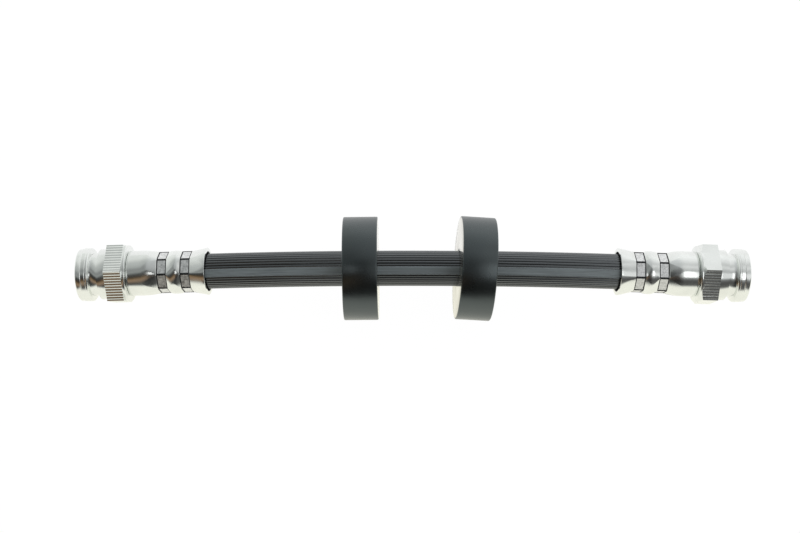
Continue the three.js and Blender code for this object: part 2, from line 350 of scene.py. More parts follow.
def draw_line(name, points, closed=True):
    """Extrudes a vertex from point to point, and joins the last to the first if closed."""
    piece = start_line(name, points[0])
    stops = points + points[:1] if closed else points
    for here, there in zip(stops, stops[1:]):
        bpy.ops.mesh.extrude_region_move(TRANSFORM_OT_translate={"value": there - here})
    bpy.ops.mesh.select_all(action="SELECT")
    bpy.ops.mesh.remove_doubles(threshold=MERGE_DISTANCE)
    return piece


def close_up():
    """Merges doubled vertices and turns all faces outwards, in edit mode."""
    bpy.ops.mesh.select_all(action="SELECT")
    bpy.ops.mesh.remove_doubles(threshold=MERGE_DISTANCE)
    bpy.ops.mesh.normals_make_consistent(inside=False)


def turn(name, outline, steps, closed=True):
    """Turns an outline of station and radius about the X axis."""
    piece = draw_line(name, [Vector((x, 0.0, r)) for x, r in outline], closed)
    bpy.ops.mesh.spin(steps=steps, angle=math.tau, center=(0, 0, 0), axis=(1, 0, 0))
    close_up()
    bpy.ops.object.mode_set(mode="OBJECT")
    return piece


def quarter(start, corner, end, steps=6):
    """Points of a quadratic curve from start to end, bent towards the corner."""
    points = []
    for i in range(steps + 1):
        t = i / steps
        a, b, c = (1 - t) ** 2, 2 * t * (1 - t), t**2
        points.append(tuple(a * p + b * q + c * r for p, q, r in zip(start, corner, end)))
    return points


def apply_modifier(piece, kind, **values):
    """Adds a modifier with these values and applies it."""
    pick(piece)
    modifier = piece.modifiers.new(kind.title(), kind)
    for key, value in values.items():
        setattr(modifier, key, value)
    bpy.ops.object.modifier_apply(modifier=modifier.name)


def round_edges(piece, width, sharper_than=30.0, segments=2):
    """Rounds the edges that are sharper than an angle in degrees."""
    apply_modifier(
        piece,
        "BEVEL",
        width=width,
        segments=segments,
        limit_method="ANGLE",
        angle_limit=math.radians(sharper_than),
        harden_normals=False,
    )


def combine(piece, other, operation):
    """Unites two solids, or cuts or trims the first with the second, which is then removed."""
    apply_modifier(piece, "BOOLEAN", object=other, operation=operation, solver="EXACT")
    bpy.data.objects.remove(other)


def join(piece, other):
    """Makes another solid a part of a piece's mesh."""
    pick(piece)
    other.select_set(True)
    bpy.ops.object.join()


def smooth(piece, degrees=35.0):
    """Shades a piece smooth apart from its sharp edges."""
    pick(piece)
    bpy.ops.object.shade_smooth_by_angle(angle=math.radians(degrees))


def place(piece, matrix):
    """Moves a piece by a matrix and puts that place into its mesh."""
    pick(piece)
    piece.matrix_world = matrix
    bpy.ops.object.transform_apply(location=True, rotation=True, scale=True)


def select(piece, kind, wanted):
    """Selects, in edit mode, the vertices, edges or polygons for which wanted(part) is true."""
    pick(piece)
    bpy.ops.object.mode_set(mode="EDIT")
    bpy.ops.mesh.select_mode(type=SELECT_MODES[kind])
    bpy.ops.mesh.select_all(action="DESELECT")
    bpy.ops.object.mode_set(mode="OBJECT")
    for part in getattr(piece.data, kind):
        part.select = wanted(part)
    bpy.ops.object.mode_set(mode="EDIT")


# Frames


def frame_along(origin, along):
    """Matrix whose X axis runs along a direction and whose Z axis faces up."""
    x = along.normalized()
    y = Vector((0.0, math.copysign(1.0, x.x), 0.0))
    z = x.cross(y)
    matrix = Matrix((x, y, z)).transposed().to_4x4()
    matrix.translation = origin
    return matrix


def end_frame(side):
    """Frame of one end: the ferrule's mouth, with X out of the hose."""
    mouth, tip = Vector(ENDS[side]["mouth"]), Vector(ENDS[side]["tip"])
    return frame_along(mouth, tip - mouth)


def route_slope(x):
    """Slope of the hose's centre line at a place along it."""
    knots = []
    for before, here, after in zip(HOSE_ROUTE, HOSE_ROUTE[1:], HOSE_ROUTE[2:]):
        knots.append((here[0], (after[1] - before[1]) / (after[0] - before[0])))
    for (x0, s0), (x1, s1) in zip(knots, knots[1:]):
        if x0 <= x <= x1:
            return s0 + (s1 - s0) * (x - x0) / (x1 - x0)
    raise ValueError("the hose doesn't reach that far")


def ring_frame(side):
    """Frame of a ring: its middle, with X along the hose as the ring leans."""
    low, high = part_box(f"{side}_rubber_ring")
    middle = (low + high) / 2
    lean = RING_LEAN[side]
    middle += Vector(lean["shift"])
    matrix = frame_along(middle, Vector((1.0, 0.0, route_slope(middle.x))))
    nod = Matrix.Rotation(-math.radians(lean["nod"]), 4, "Y")
    swing = Matrix.Rotation(math.radians(lean["swing"]), 4, "Z")
    return matrix @ nod @ swing


# Materials


class Wiring:
    """The few kinds of node that the materials and the room are wired from."""

    def __init__(self, tree):
        self.nodes, self.links = tree.nodes, tree.links

    def feed(self, socket, value):
        """Links an output to a socket, or gives the socket a constant."""
        if isinstance(value, bpy.types.NodeSocket):
            self.links.new(value, socket)
        else:
            socket.default_value = value

    def split(self, vector):
        """X, Y and Z of a vector."""
        node = self.nodes.new("ShaderNodeSeparateXYZ")
        self.links.new(vector, node.inputs[0])
        return node.outputs

    def combine(self, **axes):
        """Vector of the given X, Y and Z."""
        node = self.nodes.new("ShaderNodeCombineXYZ")
        for axis, value in axes.items():
            self.links.new(value, node.inputs[axis])
        return node.outputs[0]

    def compute(self, operation, first, second):
        """Result of an operation on two values."""
        node = self.nodes.new("ShaderNodeMath")
        node.operation = operation
        self.feed(node.inputs[0], first)
        self.feed(node.inputs[1], second)
        return node.outputs[0]

    def spread(self, value, low, high, reach=(0.3, 0.7), interpolation="LINEAR"):
        """A value mapped from its reach to a range and clamped there."""
        node = self.nodes.new("ShaderNodeMapRange")
        node.interpolation_type = interpolation
        node.inputs["From Min"].default_value, node.inputs["From Max"].default_value = reach
        node.inputs["To Min"].default_value = low
        node.inputs["To Max"].default_value = high
        self.links.new(value, node.inputs["Value"])
        return node.outputs["Result"]

    def ramp(self, value, stops):
        """Colour by a value, from stops of (position, colour)."""
        node = self.nodes.new("ShaderNodeValToRGB")
        elements = node.color_ramp.elements
        while len(elements) < len(stops):
            elements.new(0.5)
        for element, (position, tone) in zip(elements, stops):
            element.position = position
            element.color = (*tone, 1.0)
        self.links.new(value, node.inputs["Fac"])
        return node.outputs["Color"]

    def mix(self, share, first, second):
        """One colour that turns into another."""
        node = self.nodes.new("ShaderNodeMix")
        node.data_type = "RGBA"
        self.feed(node.inputs["Factor"], share)
        self.feed(node.inputs["A"], first)
        self.feed(node.inputs["B"], second)
        return node.outputs["Result"]

    def mix_shaders(self, share, first, second, output):
        """One shader that turns into another, as the output."""
        node = self.nodes.new("ShaderNodeMixShader")
        for socket, source in zip(node.inputs, (share, first.outputs[0], second.outputs[0])):
            self.links.new(source, socket)
        self.links.new(node.outputs[0], self.nodes[output].inputs["Surface"])


class Finish(Wiring):
    """A material on a piece's own coordinates, with its bumps."""

    def __init__(self, name, base, metallic, roughness, matrix=None):
        self.material = bpy.data.materials.new(name)
        self.material.use_nodes = True
        super().__init__(self.material.node_tree)
        self.shader = self.nodes["Principled BSDF"]
        self.shader.inputs["Base Color"].default_value = (*base, 1.0)
        self.shader.inputs["Metallic"].default_value = metallic
        self.shader.inputs["Roughness"].default_value = roughness
        self.height = None
        self.place = self.local_place(matrix)

    def gloss(self, ior, level, tint=(1.0, 1.0, 1.0)):
        """Sets how much a filled rubber mirrors, and in what tint."""
        self.shader.inputs["IOR"].default_value = ior
        self.shader.inputs["Specular IOR Level"].default_value = level
        self.shader.inputs["Specular Tint"].default_value = (*tint, 1.0)

    def local_place(self, matrix):
        """Object coordinates, seen from a piece's own frame if it has one."""
        coordinates = self.nodes.new("ShaderNodeTexCoord").outputs["Object"]
        if matrix is None:
            return coordinates
        mapping = self.nodes.new("ShaderNodeMapping")
        mapping.vector_type = "TEXTURE"
        mapping.inputs["Location"].default_value = matrix.translation
        mapping.inputs["Rotation"].default_value = matrix.to_euler()
        self.links.new(coordinates, mapping.inputs["Vector"])
        return mapping.outputs["Vector"]

    def stretch(self, scale):
        """The local place with each axis scaled."""
        mapping = self.nodes.new("ShaderNodeMapping")
        mapping.inputs["Scale"].default_value = scale
        self.links.new(self.place, mapping.inputs["Vector"])
        return mapping.outputs["Vector"]

    def turned_place(self, station_scale, radius_scale):
        """Station and radius, the same all round the piece's X axis."""
        axes = self.split(self.place)
        radius = self.nodes.new("ShaderNodeVectorMath")
        radius.operation = "LENGTH"
        self.links.new(self.combine(Y=axes["Y"], Z=axes["Z"]), radius.inputs[0])
        scaled = self.nodes.new("ShaderNodeVectorMath")
        scaled.operation = "MULTIPLY"
        scaled.inputs[1].default_value = (station_scale, radius_scale, 1.0)
        self.links.new(self.combine(X=axes["X"], Y=radius.outputs["Value"]), scaled.inputs[0])
        return scaled.outputs["Vector"]

    def noise(self, place, scale, detail=3.0, roughness=0.5):
        """Noise from 0 to 1."""
        node = self.nodes.new("ShaderNodeTexNoise")
        node.inputs["Scale"].default_value = scale
        node.inputs["Detail"].default_value = detail
        node.inputs["Roughness"].default_value = roughness
        self.links.new(place, node.inputs["Vector"])
        return node.outputs["Fac"]

    def tint(self, value, colours):
        """Colours the base from a ramp of (position, colour)."""
        self.links.new(self.ramp(value, colours), self.shader.inputs["Base Color"])

    def roughen(self, value, low, high):
        """Varies the roughness."""
        self.links.new(self.spread(value, low, high), self.shader.inputs["Roughness"])

    def bump(self, value, depth):
        """Adds a bump of a depth in metres on top of those before it."""
        node = self.nodes.new("ShaderNodeBump")
        node.inputs["Strength"].default_value = 1.0
        node.inputs["Distance"].default_value = depth
        self.links.new(value, node.inputs["Height"])
        if self.height is not None:
            self.links.new(self.height, node.inputs["Normal"])
        self.height = node.outputs["Normal"]
        self.links.new(self.height, self.shader.inputs["Normal"])


def shaded(tone, factor):
    """A colour made lighter or darker."""
    return tuple(min(1.0, channel * factor) for channel in tone)


def zinc_finish(side, matrix):
    """Bright zinc plating over turned or drawn steel."""
    tone = tuple(bpy.context.scene.hose_finishes.zinc)
    finish = Finish(f"zinc_plating_{side}", tone, 1.0, 0.16, matrix)
    cloud = finish.noise(finish.place, 180.0, 4.0)
    marks = finish.noise(finish.turned_place(1.0, 1.0), 6000.0, 2.0)
    finish.tint(cloud, [(0.3, shaded(tone, 0.93)), (0.7, shaded(tone, 1.04))])
    finish.roughen(cloud, 0.1, 0.2)
    finish.bump(marks, 0.004 * MM)
    finish.bump(finish.noise(finish.place, 900.0, 2.0), 0.006 * MM)
    return finish.material


def pressed_zinc_finish(side, matrix):
    """Zinc plating under the jaws, dulled and pitted."""
    tone = tuple(bpy.context.scene.hose_finishes.pressed_zinc)
    finish = Finish(f"pressed_zinc_{side}", tone, 1.0, 0.35, matrix)
    grain = finish.noise(finish.place, 1500.0, 4.0)
    finish.tint(grain, [(0.35, shaded(tone, 0.72)), (0.65, shaded(tone, 1.1))])
    finish.roughen(grain, 0.26, 0.44)
    finish.bump(grain, 0.03 * MM)
    return finish.material


def painted_shade_finish(side, matrix):
    """Torn and darkened plating on the walls that the jaws leave between the flats."""
    tone = tuple(bpy.context.scene.hose_finishes.wall_zinc)
    finish = Finish(f"wall_zinc_{side}", tone, 1.0, 0.4, matrix)
    grain = finish.noise(finish.place, 3200.0, 3.0)
    finish.tint(grain, [(0.35, shaded(tone, 0.6)), (0.65, shaded(tone, 1.4))])
    finish.roughen(grain, 0.34, 0.5)
    finish.bump(grain, 0.02 * MM)
    return finish.material


def hose_rubber_finish():
    """Extruded rubber, slightly shiny, with drag marks along it."""
    tone = tuple(bpy.context.scene.hose_finishes.hose_rubber)
    finish = Finish("hose_rubber", tone, 0.0, 0.22)
    finish.gloss(1.7, 1.0, (0.9, 0.96, 1.0))
    drag = finish.noise(finish.stretch((0.04, 1.0, 1.0)), 2500.0, 3.0)
    cloud = finish.noise(finish.place, 120.0, 4.0)
    finish.tint(cloud, [(0.3, shaded(tone, 0.8)), (0.7, shaded(tone, 1.3))])
    finish.roughen(cloud, 0.1, 0.2)
    finish.bump(drag, 0.012 * MM)
    finish.bump(finish.noise(finish.place, 5000.0, 2.0), 0.008 * MM)
    return finish.material


def strip_reflection_finish():
    """Smooth strip along the hose, where the rubber is polished and greyer."""
    tone = tuple(bpy.context.scene.hose_finishes.strip)
    finish = Finish("hose_strip", tone, 0.0, 0.3)
    streak = finish.noise(finish.stretch((0.02, 1.0, 1.0)), 1800.0, 3.0)
    finish.tint(streak, [(0.35, shaded(tone, 0.82)), (0.65, shaded(tone, 1.15))])
    finish.roughen(streak, 0.26, 0.34)
    finish.bump(streak, 0.01 * MM)
    return finish.material


def mouth_shade_finish():
    """Matt black rubber beside the ferrules, where the hose is squeezed."""
    finish = Finish("hose_neck", (0.003, 0.003, 0.0035), 0.0, 0.7)
    finish.gloss(1.4, 0.2)
    grain = finish.noise(finish.place, 4000.0, 3.0)
    finish.roughen(grain, 0.6, 0.8)
    finish.bump(grain, 0.02 * MM)
    return finish.material


def ring_rubber_finish(side, matrix):
    """Moulded rubber with a fine satin grain."""
    tone = tuple(bpy.context.scene.hose_finishes.ring_rubber)
    finish = Finish(f"ring_rubber_{side}", tone, 0.0, 0.32, matrix)
    finish.gloss(1.6, 1.0, (0.84, 0.97, 1.0))
    cloud = finish.noise(finish.place, 90.0, 5.0)
    finish.tint(cloud, [(0.3, shaded(tone, 0.85)), (0.7, shaded(tone, 1.25))])
    finish.roughen(cloud, 0.25, 0.34)
    finish.bump(finish.noise(finish.place, 4000.0, 3.0), 0.01 * MM)
    finish.bump(finish.noise(finish.place, 300.0, 2.0), 0.02 * MM)
    return finish.material


def cut_rubber_finish(side, matrix):
    """Face of a ring where it was cut off, smooth with rings of fine knife marks."""
    tone = tuple(bpy.context.scene.hose_finishes.ring_rubber)
    finish = Finish(f"cut_rubber_{side}", tone, 0.0, 0.14, matrix)
    finish.gloss(1.7, 1.0)
    finish.shader.inputs["Coat Weight"].default_value = 1.0
    finish.shader.inputs["Coat Roughness"].default_value = 0.12
    finish.shader.inputs["Coat Tint"].default_value = (1.0, 0.97, 0.86, 1.0)
    marks = finish.noise(finish.turned_place(0.1, 1.0), 2500.0, 2.0)
    cloud = finish.noise(finish.place, 150.0, 3.0)
    finish.tint(cloud, [(0.3, shaded(tone, 0.9)), (0.7, shaded(tone, 1.2))])
    finish.roughen(cloud, 0.1, 0.18)
    finish.bump(marks, 0.002 * MM)
    return finish.material


# Pieces

# Faces round a turned piece, and round a ring.
TURN_STEPS = 128
RING_STEPS = 160

# Slots of the materials on a ferrule: bare zinc, pressed zinc, and dark zinc painted as shade.
BARE, PRESSED, PAINTED_SHADE = 0, 1, 2

# How far the tools that press the flats stand out, and where the drawn-in part begins.
TOOL_HEIGHT = 2.0 * MM
DISH_START = 0.3 * MM

# Share of a full match that makes a face a part of a pressed flat.
FACING = 0.98

# Chamfers in the ferrule: depth and height of its mouth's bell, edge of its lip, cup corner.
BELL_DEPTH, BELL_HEIGHT = 0.5 * MM, 0.3 * MM
LIP_EDGE = 0.1 * MM
CUP_CORNER = 0.3 * MM

# Places of the two fine lines turned in the flange, from its start and from the nose.
FLANGE_LINE, NOSE_LINE = 0.85 * MM, 0.2 * MM

# Chamfer of the port, and the plain bore and slope behind its thread.
PORT_CHAMFER = 0.6 * MM
THREAD_RUNOUT, RUNOUT_SLOPE = 1.2 * MM, 0.5 * MM

# The thread's ridge: depth in the wall, and half its foot and half its crest by the pitch.
THREAD_BITE = 0.12 * MM
HALF_FOOT, HALF_CREST = 0.44, 0.07
THREAD_STEPS = 64

# Steps for each tooth of a hexagon, each rib of the hose, its plain strip and its bore.
TOOTH_STEPS, RIB_STEPS, STRIP_STEPS, BORE_STEPS = 16, 8, 8, 48


def rise(low, high, steps=10):
    """Points of a curve that leaves a low point steeply and levels out at a high one."""
    points = []
    for i in range(steps + 1):
        part = math.sin(math.pi / 2 * i / steps)
        points.append((low[0] + (high[0] - low[0]) * i / steps, low[1] + (high[1] - low[1]) * part))
    return points


def crimp_line(s, start, low, top):
    """Outer line of the crimp, from its start over both rows of flats to the barrel."""
    half = s.jaw_width / 2
    bulge = ((s.mouth_row + s.base_row) / 2, s.bulge)
    line = start + rise((s.mouth_row + half, low), bulge)
    line += rise((s.base_row - half, low), bulge)[-2::-1]
    return line + rise((s.base_row + half, low), (s.base_row + half + s.swell_length, top), 16)


def ferrule_outline(s):
    """Closed outline of a ferrule's wall as station and radius."""
    cup = s.length - s.base
    outline = [(s.lip_length, s.inside), (BELL_DEPTH, s.inside + BELL_HEIGHT), (0.0, s.mouth)]
    outline += [(0.0, s.lip - LIP_EDGE)]
    outline += crimp_line(s, [(LIP_EDGE, s.lip), (s.lip_length, s.waist)], s.waist, s.outside)
    outline += quarter(
        (s.length - s.corner, s.outside), (s.length, s.outside), (s.length, s.outside - s.corner), 5
    )
    outline += [(s.length, s.hole), (cup, s.hole), (cup, s.inside - CUP_CORNER)]
    outline += [(cup - CUP_CORNER, s.inside)]
    return outline


def jaw(s, station, turned):
    """One crimping jaw as a solid whose lower face presses a flat."""
    flat = 2 * (s.flat_height * math.tan(math.pi / s.jaw_count)) - s.jaw_ridge
    clear_selection()
    bpy.ops.mesh.primitive_cube_add(size=1.0, scale=(s.jaw_width, flat, TOOL_HEIGHT))
    tool = bpy.context.object
    bpy.ops.object.transform_apply(location=False, rotation=False, scale=True)
    select(tool, "vertices", lambda vertex: vertex.co.z > 0)
    depth = s.outside - s.flat_height
    wider = TOOL_HEIGHT * s.jaw_draft / depth
    spread = ((s.jaw_width + 2 * wider) / s.jaw_width, (flat + wider) / flat, 1.0)
    bpy.ops.transform.resize(value=spread, center_override=(0, 0, 0))
    bpy.ops.object.mode_set(mode="OBJECT")
    lift = Matrix.Translation((station, 0.0, s.flat_height + TOOL_HEIGHT / 2))
    place(tool, Matrix.Rotation(turned, 4, "X") @ lift)
    return tool


def dish(s, turned):
    """The shape that a jaw draws in beside its flats, as a solid to cut away."""
    half, low, high = s.jaw_width / 2, s.dish_height, s.outside + TOOL_HEIGHT
    start = [(DISH_START, s.lip), (s.mouth_row - half, low)]
    line = crimp_line(s, start, low, s.outside + NEARLY)
    line += [(s.base_row + half + s.swell_length, high), (DISH_START, high)]
    wide = 2 * low * math.tan(math.pi / s.jaw_count)
    tool = draw_line("dish", [Vector((x, -wide / 2, z)) for x, z in line])
    bpy.ops.mesh.edge_face_add()
    bpy.ops.mesh.extrude_region_move(TRANSFORM_OT_translate={"value": (0.0, wide, 0.0)})
    close_up()
    bpy.ops.object.mode_set(mode="OBJECT")
    place(tool, Matrix.Rotation(turned, 4, "X"))
    return tool


def paint_crimp_shade(piece, s):
    """Gives the edges of the pressed flats and the ridges between them the finish of the walls."""
    select(piece, "polygons", lambda face: face.material_index == PRESSED)
    bpy.ops.mesh.inset(thickness=s.painted_shade_edge, depth=0.0, use_boundary=True)
    bpy.ops.mesh.select_all(action="INVERT")
    bpy.ops.object.mode_set(mode="OBJECT")
    for polygon in piece.data.polygons:
        station, height = polygon.center.x, polygon.center.yz.length
        in_row = min(abs(station - s.mouth_row), abs(station - s.base_row)) < s.jaw_width / 2
        if in_row and height > s.flat_height * FACING and polygon.select:
            polygon.material_index = PAINTED_SHADE
        # Inward faces, the ferrule's inside, get the painted shade as well.
        faces_in = polygon.normal.yz.dot(polygon.center.yz) < 0
        if faces_in and polygon.material_index == BARE:
            polygon.material_index = PAINTED_SHADE


def build_ferrule(side):
    """Drawn cup with two rows of pressed flats."""
    s = bpy.context.scene.hose_ferrule_sizes
    matrix = end_frame(side)
    piece = turn(f"{side}_crimped_ferrule", ferrule_outline(s), TURN_STEPS)
    piece.data.materials.append(zinc_finish(f"{side}_ferrule", matrix))
    # The wall finish is painted shade: dark zinc on the jaws' walls, the flats' edges, the ridges
    # and the inside.
    pressed, wall = pressed_zinc_finish(side, matrix), painted_shade_finish(side, matrix)
    piece.data.materials.append(pressed)
    piece.data.materials.append(wall)
    crimp_turn = math.radians(ENDS[side]["crimp_turn"])
    turns = [crimp_turn + math.tau * (i + 0.5) / s.jaw_count for i in range(s.jaw_count)]
    for turned in turns:
        combine(piece, dish(s, turned), "DIFFERENCE")
    for station in (s.mouth_row, s.base_row):
        tools = [jaw(s, station, turned) for turned in turns]
        pick(tools[0])
        for tool in tools[1:]:
            tool.select_set(True)
        bpy.ops.object.join()
        tool = bpy.context.object
        tool.data.materials.append(pressed)
        tool.data.materials.append(wall)
        # Faces of a jaw that don't press a flat cut walls that carry the painted shade.
        for polygon in tool.data.polygons:
            from_axis = Vector((0.0, *polygon.center.yz)).normalized()
            polygon.material_index = 0 if polygon.normal.dot(from_axis) < -FACING else 1
        combine(piece, tool, "DIFFERENCE")
    paint_crimp_shade(piece, s)
    round_edges(piece, 0.05 * MM, 28.0)
    smooth(piece, 30.0)
    place(piece, matrix)
    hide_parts(f"{side}_ferrule")
    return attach(piece, BODY)


def turned_line(s, station, radius):
    """Points of a fine groove turned in a cylinder."""
    half = s.turned_line / 2
    return [(station - half, radius), (station, radius - s.turned_depth), (station + half, radius)]


def fitting_outline(s):
    """Closed outline of the turned fitting as station and radius, port and passage included."""
    outline = [(s.nipple_start, s.passage), (s.nipple_start, s.nipple)]
    for barb in range(s.barb_count):
        start = s.nipple_start + barb * s.barb_pitch
        outline += [(start + s.barb_rise, s.nipple + s.barb_height)]
        outline += [(start + s.barb_pitch, s.nipple)]
    outline += [
        (s.retainer_start, s.nipple),
        (s.retainer_start, s.retainer),
        (s.retainer_end, s.retainer),
        (s.retainer_end, s.stem),
        (s.shoulder_start, s.stem),
    ]
    outline += quarter(
        (s.shoulder_start, s.shoulder - s.shoulder_edge),
        (s.shoulder_start, s.shoulder),
        (s.shoulder_start + s.shoulder_edge, s.shoulder),
    )
    outline += [
        (s.shoulder_end, s.shoulder),
        (s.shoulder_end, s.neck),
        (s.groove_start, s.neck),
        (s.groove_start, s.groove),
        (s.flange_start, s.groove),
        (s.flange_start, s.flange - s.flange_edge),
        (s.flange_start + s.flange_edge, s.flange),
    ]
    for station in (s.flange_start + FLANGE_LINE, s.nose_start - NOSE_LINE):
        outline += turned_line(s, station, s.flange)
    outline += [(s.nose_start, s.flange), (s.nose_start, s.flange - s.nose_step)]
    nose = s.flange - s.nose_step
    outline += quarter(
        (s.end - s.nose_rounding, nose), (s.end, nose), (s.end, nose - s.nose_rounding)
    )
    port_bottom = s.end - s.port_depth
    thread_start = s.end - s.thread_turns * s.thread_pitch
    cone = (s.port_crest - s.passage) / math.tan(s.drill_angle)
    outline += [
        (s.end, s.port_root + PORT_CHAMFER),
        (s.end - PORT_CHAMFER, s.port_root),
        (thread_start - THREAD_RUNOUT, s.port_root),
        (thread_start - THREAD_RUNOUT - RUNOUT_SLOPE, s.port_crest),
        (port_bottom, s.port_crest),
        (port_bottom - cone, s.passage),
    ]
    return outline


def hexagon(s, end):
    """Hexagon prism with a corner on top and grooves rolled into some of its flats."""
    hex_start, hex_width = end["hex_start"], end["hex_width"]
    clear_selection()
    corner = s.hex_apothem / math.cos(math.pi / 6)
    bpy.ops.mesh.primitive_cylinder_add(vertices=6, radius=corner, depth=hex_width)
    piece = bpy.context.object
    place(piece, Matrix.Rotation(math.pi / 2, 4, "X") @ Matrix.Rotation(math.pi / 2, 4, "Y"))
    place(piece, Matrix.Translation((hex_start + hex_width / 2, 0, 0)))
    half_flat = corner / 2
    step = 2 * half_flat / (s.tooth_count * TOOTH_STEPS)

    def is_rim(edge):
        a, b = (piece.data.vertices[i].co for i in edge.vertices)
        return abs(a.x - b.x) < NEARLY

    select(piece, "edges", is_rim)
    bpy.ops.mesh.subdivide(number_cuts=s.tooth_count * TOOTH_STEPS - 1)
    for flat in end["serrated_flats"]:
        facing = math.radians(60 * flat + 30)
        out = Vector((0.0, -math.sin(facing), math.cos(facing)))
        along = Vector((0.0, -math.cos(facing), -math.sin(facing)))
        for part in range(1, TOOTH_STEPS):

            def is_part(vertex):
                on_flat = abs(vertex.co.dot(out) - s.hex_apothem) < NEARLY
                steps = round((vertex.co.dot(along) + half_flat) / step)
                return on_flat and steps % TOOTH_STEPS == part

            wave = 0.5 - 0.5 * math.cos(math.tau * part / TOOTH_STEPS)
            depth = wave ** end["tooth_sharpness"]
            if depth < 0.01:
                continue
            select(piece, "vertices", is_part)
            bpy.ops.transform.translate(value=out * -end["tooth_depth"] * depth)
    bpy.ops.object.mode_set(mode="OBJECT")
    if end["chamfered"]:
        reach = 2 * s.hex_apothem
        cone = [
            (hex_start - MM, 0.0),
            (hex_start - MM, s.hex_apothem - 1.0 * MM / math.tan(s.chamfer_angle)),
            (hex_start + (reach - s.hex_apothem) * math.tan(s.chamfer_angle), reach),
            (s.groove_start, reach),
            (s.groove_start, 0.0),
        ]
        tool = turn("chamfer_tool", cone, TURN_STEPS, closed=False)
        combine(piece, tool, "INTERSECT")
    return piece


def thread(s):
    """Thread of the port as a helical ridge that reaches into the wall."""
    pitch = s.thread_pitch
    root = s.port_root + THREAD_BITE
    start = s.end - (s.thread_turns + 0.9) * pitch
    ridge = [
        Vector((start - HALF_FOOT * pitch, 0.0, root)),
        Vector((start - HALF_CREST * pitch, 0.0, s.port_crest)),
        Vector((start + HALF_CREST * pitch, 0.0, s.port_crest)),
        Vector((start + HALF_FOOT * pitch, 0.0, root)),
    ]
    piece = draw_line("port_thread", ridge)
    bpy.ops.mesh.edge_face_add()
    bpy.ops.object.mode_set(mode="OBJECT")
    apply_modifier(
        piece,
        "SCREW",
        axis="X",
        angle=math.tau,
        screw_offset=pitch,
        iterations=s.thread_turns,
        steps=THREAD_STEPS,
        render_steps=THREAD_STEPS,
        use_merge_vertices=True,
        merge_threshold=MERGE_DISTANCE,
    )
    pick(piece)
    bpy.ops.object.mode_set(mode="EDIT")
    close_up()
    bpy.ops.object.mode_set(mode="OBJECT")
    return piece


def build_fitting(side):
    """Turned end fitting with its hexagon and its threaded port."""
    s = bpy.context.scene.hose_fitting_sizes
    end = ENDS[side]
    matrix = end_frame(side)
    piece = turn(f"{side}_turned_fitting", fitting_outline(s), TURN_STEPS)
    piece.data.materials.append(zinc_finish(f"{side}_fitting", matrix))
    round_edges(piece, 0.08 * MM, 30.0)
    collar = hexagon(s, end)
    place(collar, Matrix.Rotation(math.radians(end["hex_turn"]), 4, "X"))
    round_edges(collar, 0.05 * MM, 58.0, 1)
    combine(piece, collar, "UNION")
    join(piece, thread(s))
    smooth(piece, 25.0)
    place(piece, matrix)
    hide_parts(f"{side}_end_fitting")
    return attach(piece, BODY)


def build_ring(side):
    """Thick moulded rubber ring."""
    s = bpy.context.scene.hose_ring_sizes
    half = s.width / 2
    outline = [(-half, s.bore), (-half, s.outside), (half, s.outside), (half, s.bore)]
    piece = turn(f"{side}_moulded_ring", outline, RING_STEPS)
    round_edges(piece, s.edge, 30.0, 4)
    matrix = ring_frame(side)
    piece.data.materials.append(ring_rubber_finish(side, matrix))
    piece.data.materials.append(cut_rubber_finish(side, matrix))
    for polygon in piece.data.polygons:
        polygon.material_index = 1 if abs(polygon.normal.x) > 0.99 else 0
    smooth(piece, 40.0)
    place(piece, matrix)
    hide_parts(f"{side}_rubber_ring")
    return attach(piece, BODY)


def rib_outline(s):
    """Points round the hose: ribs with rounded tops, and one plain strip facing the front."""
    radius = s.diameter / 2
    half_strip = math.asin(s.strip_width / 2 / radius)
    plain_height = radius * math.cos(half_strip)
    points = []
    span = math.tau - 2 * half_strip
    total = s.rib_count * RIB_STEPS
    for i in range(total + 1):
        turned = half_strip + span * i / total
        wave = abs(math.sin(math.pi * i / RIB_STEPS))
        depth = s.rib_depth * (1 - wave**0.42)
        if i in (0, total):
            depth = 0.0
        points.append(((radius - depth) * math.sin(turned), (radius - depth) * math.cos(turned)))
    for i in range(1, STRIP_STEPS):
        points.append((s.strip_width / 2 * (2 * i / STRIP_STEPS - 1), plain_height))
    return points


def hose_route_curve():
    """The hose's centre line as a curve, for bending the straight hose on."""
    clear_selection()
    bpy.ops.curve.primitive_nurbs_path_add()
    guide = bpy.context.object
    curve = guide.data
    curve.splines.clear()
    spline = curve.splines.new("BEZIER")
    spline.bezier_points.add(len(HOSE_ROUTE) - 1)
    for point, (x, z) in zip(spline.bezier_points, HOSE_ROUTE):
        point.co = (x, 0.0, z)
        point.handle_left_type = point.handle_right_type = "AUTO"
    curve.resolution_u = 24
    curve.twist_mode = "Z_UP"
    return guide, spline


